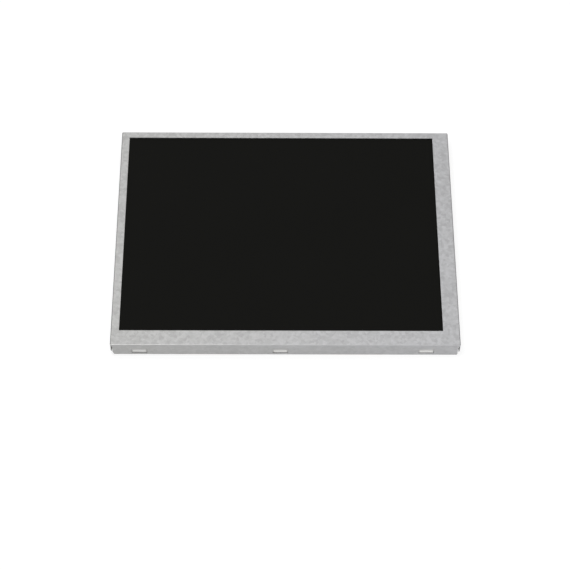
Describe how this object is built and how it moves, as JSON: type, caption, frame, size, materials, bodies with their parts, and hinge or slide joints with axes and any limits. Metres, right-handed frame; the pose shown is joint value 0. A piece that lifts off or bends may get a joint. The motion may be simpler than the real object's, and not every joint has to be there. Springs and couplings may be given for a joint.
{
  "type": "flat panel display module",
  "caption": "Slim flat display module: glass panel and backlight in a folded steel bezel, with its circuit board, folded flexible circuits and ribbon socket on the back.",
  "frame": {"origin": "middle of the outline, on the plane of the rear rim that the module lies on", "axes": "+X right along the long side, +Y up the picture, +Z out of the screen"},
  "size_m": [0.127, 0.0984, 0.0064],
  "materials": {
    "bezel_steel": "zinc-coated sheet with a fine, cloudy grain",
    "frame_plastic": "white, lightly textured moulding",
    "plate_steel": "zinc-coated sheet",
    "solder_mask": "green solder mask",
    "clear_film": "thin insulating film",
    "screw_steel": "plated steel",
    "ferrite": "dark ferrite",
    "panel_glass": "thin flat glass",
    "dark_polariser": "near-black film with an anti-glare face",
    "black_tape": "thin black foam tape",
    "bare_silicon": "bare chip",
    "white_film": "white optical film",
    "guide_acrylic": "clear moulded acrylic",
    "led_package": "white package with a pale yellow window",
    "amber_flex": "amber polyimide over copper tracks",
    "chip_epoxy": "black moulded epoxy",
    "tinned_lead": "bright tinned metal",
    "tan_ceramic": "tan ceramic",
    "resistor_black": "black glazed ceramic",
    "socket_nylon": "ivory nylon",
    "gilt_contact": "gilt spring contact",
    "slider_nylon": "dark brown nylon"
  },
  "bodies": {
    "module": {"front_bezel": "bezel_steel", "mould_frame": "frame_plastic", "rear_plate": "plate_steel", "control_board": "solder_mask", "insulating_sheet": "clear_film", "board_screws": "screw_steel", "power_inductors": "ferrite", "thin_film_glass": "panel_glass", "colour_filter_glass": "panel_glass", "front_polariser": "dark_polariser", "rear_polariser": "dark_polariser", "panel_rim_tape": "black_tape", "bezel_cushion": "black_tape", "source_driver_chips": "bare_silicon", "gate_driver_chips": "bare_silicon", "diffuser_film": "white_film", "lower_prism_film": "white_film", "upper_prism_film": "white_film", "light_guide": "guide_acrylic", "reflector_sheet": "white_film", "backlight_leds": "led_package", "led_strip_flex": "amber_flex", "left_panel_flex": "amber_flex", "right_panel_flex": "amber_flex", "display_controller": "chip_epoxy", "converter_chips": "chip_epoxy", "chip_leads": "tinned_lead", "chip_capacitors": "tan_ceramic", "chip_resistors": "resistor_black", "part_end_caps": "tinned_lead", "socket_housing": "socket_nylon", "socket_contacts": "gilt_contact", "socket_solder_tabs": "tinned_lead"},
    "socket_lock": {"socket_slider": "slider_nylon"}
  },
  "joints": [
    {"name": "socket_lock_slide", "type": "slide", "parent": "module", "child": "socket_lock", "axis": [0, 1, 0], "range_m": [0, 0.0012]}
  ]
}
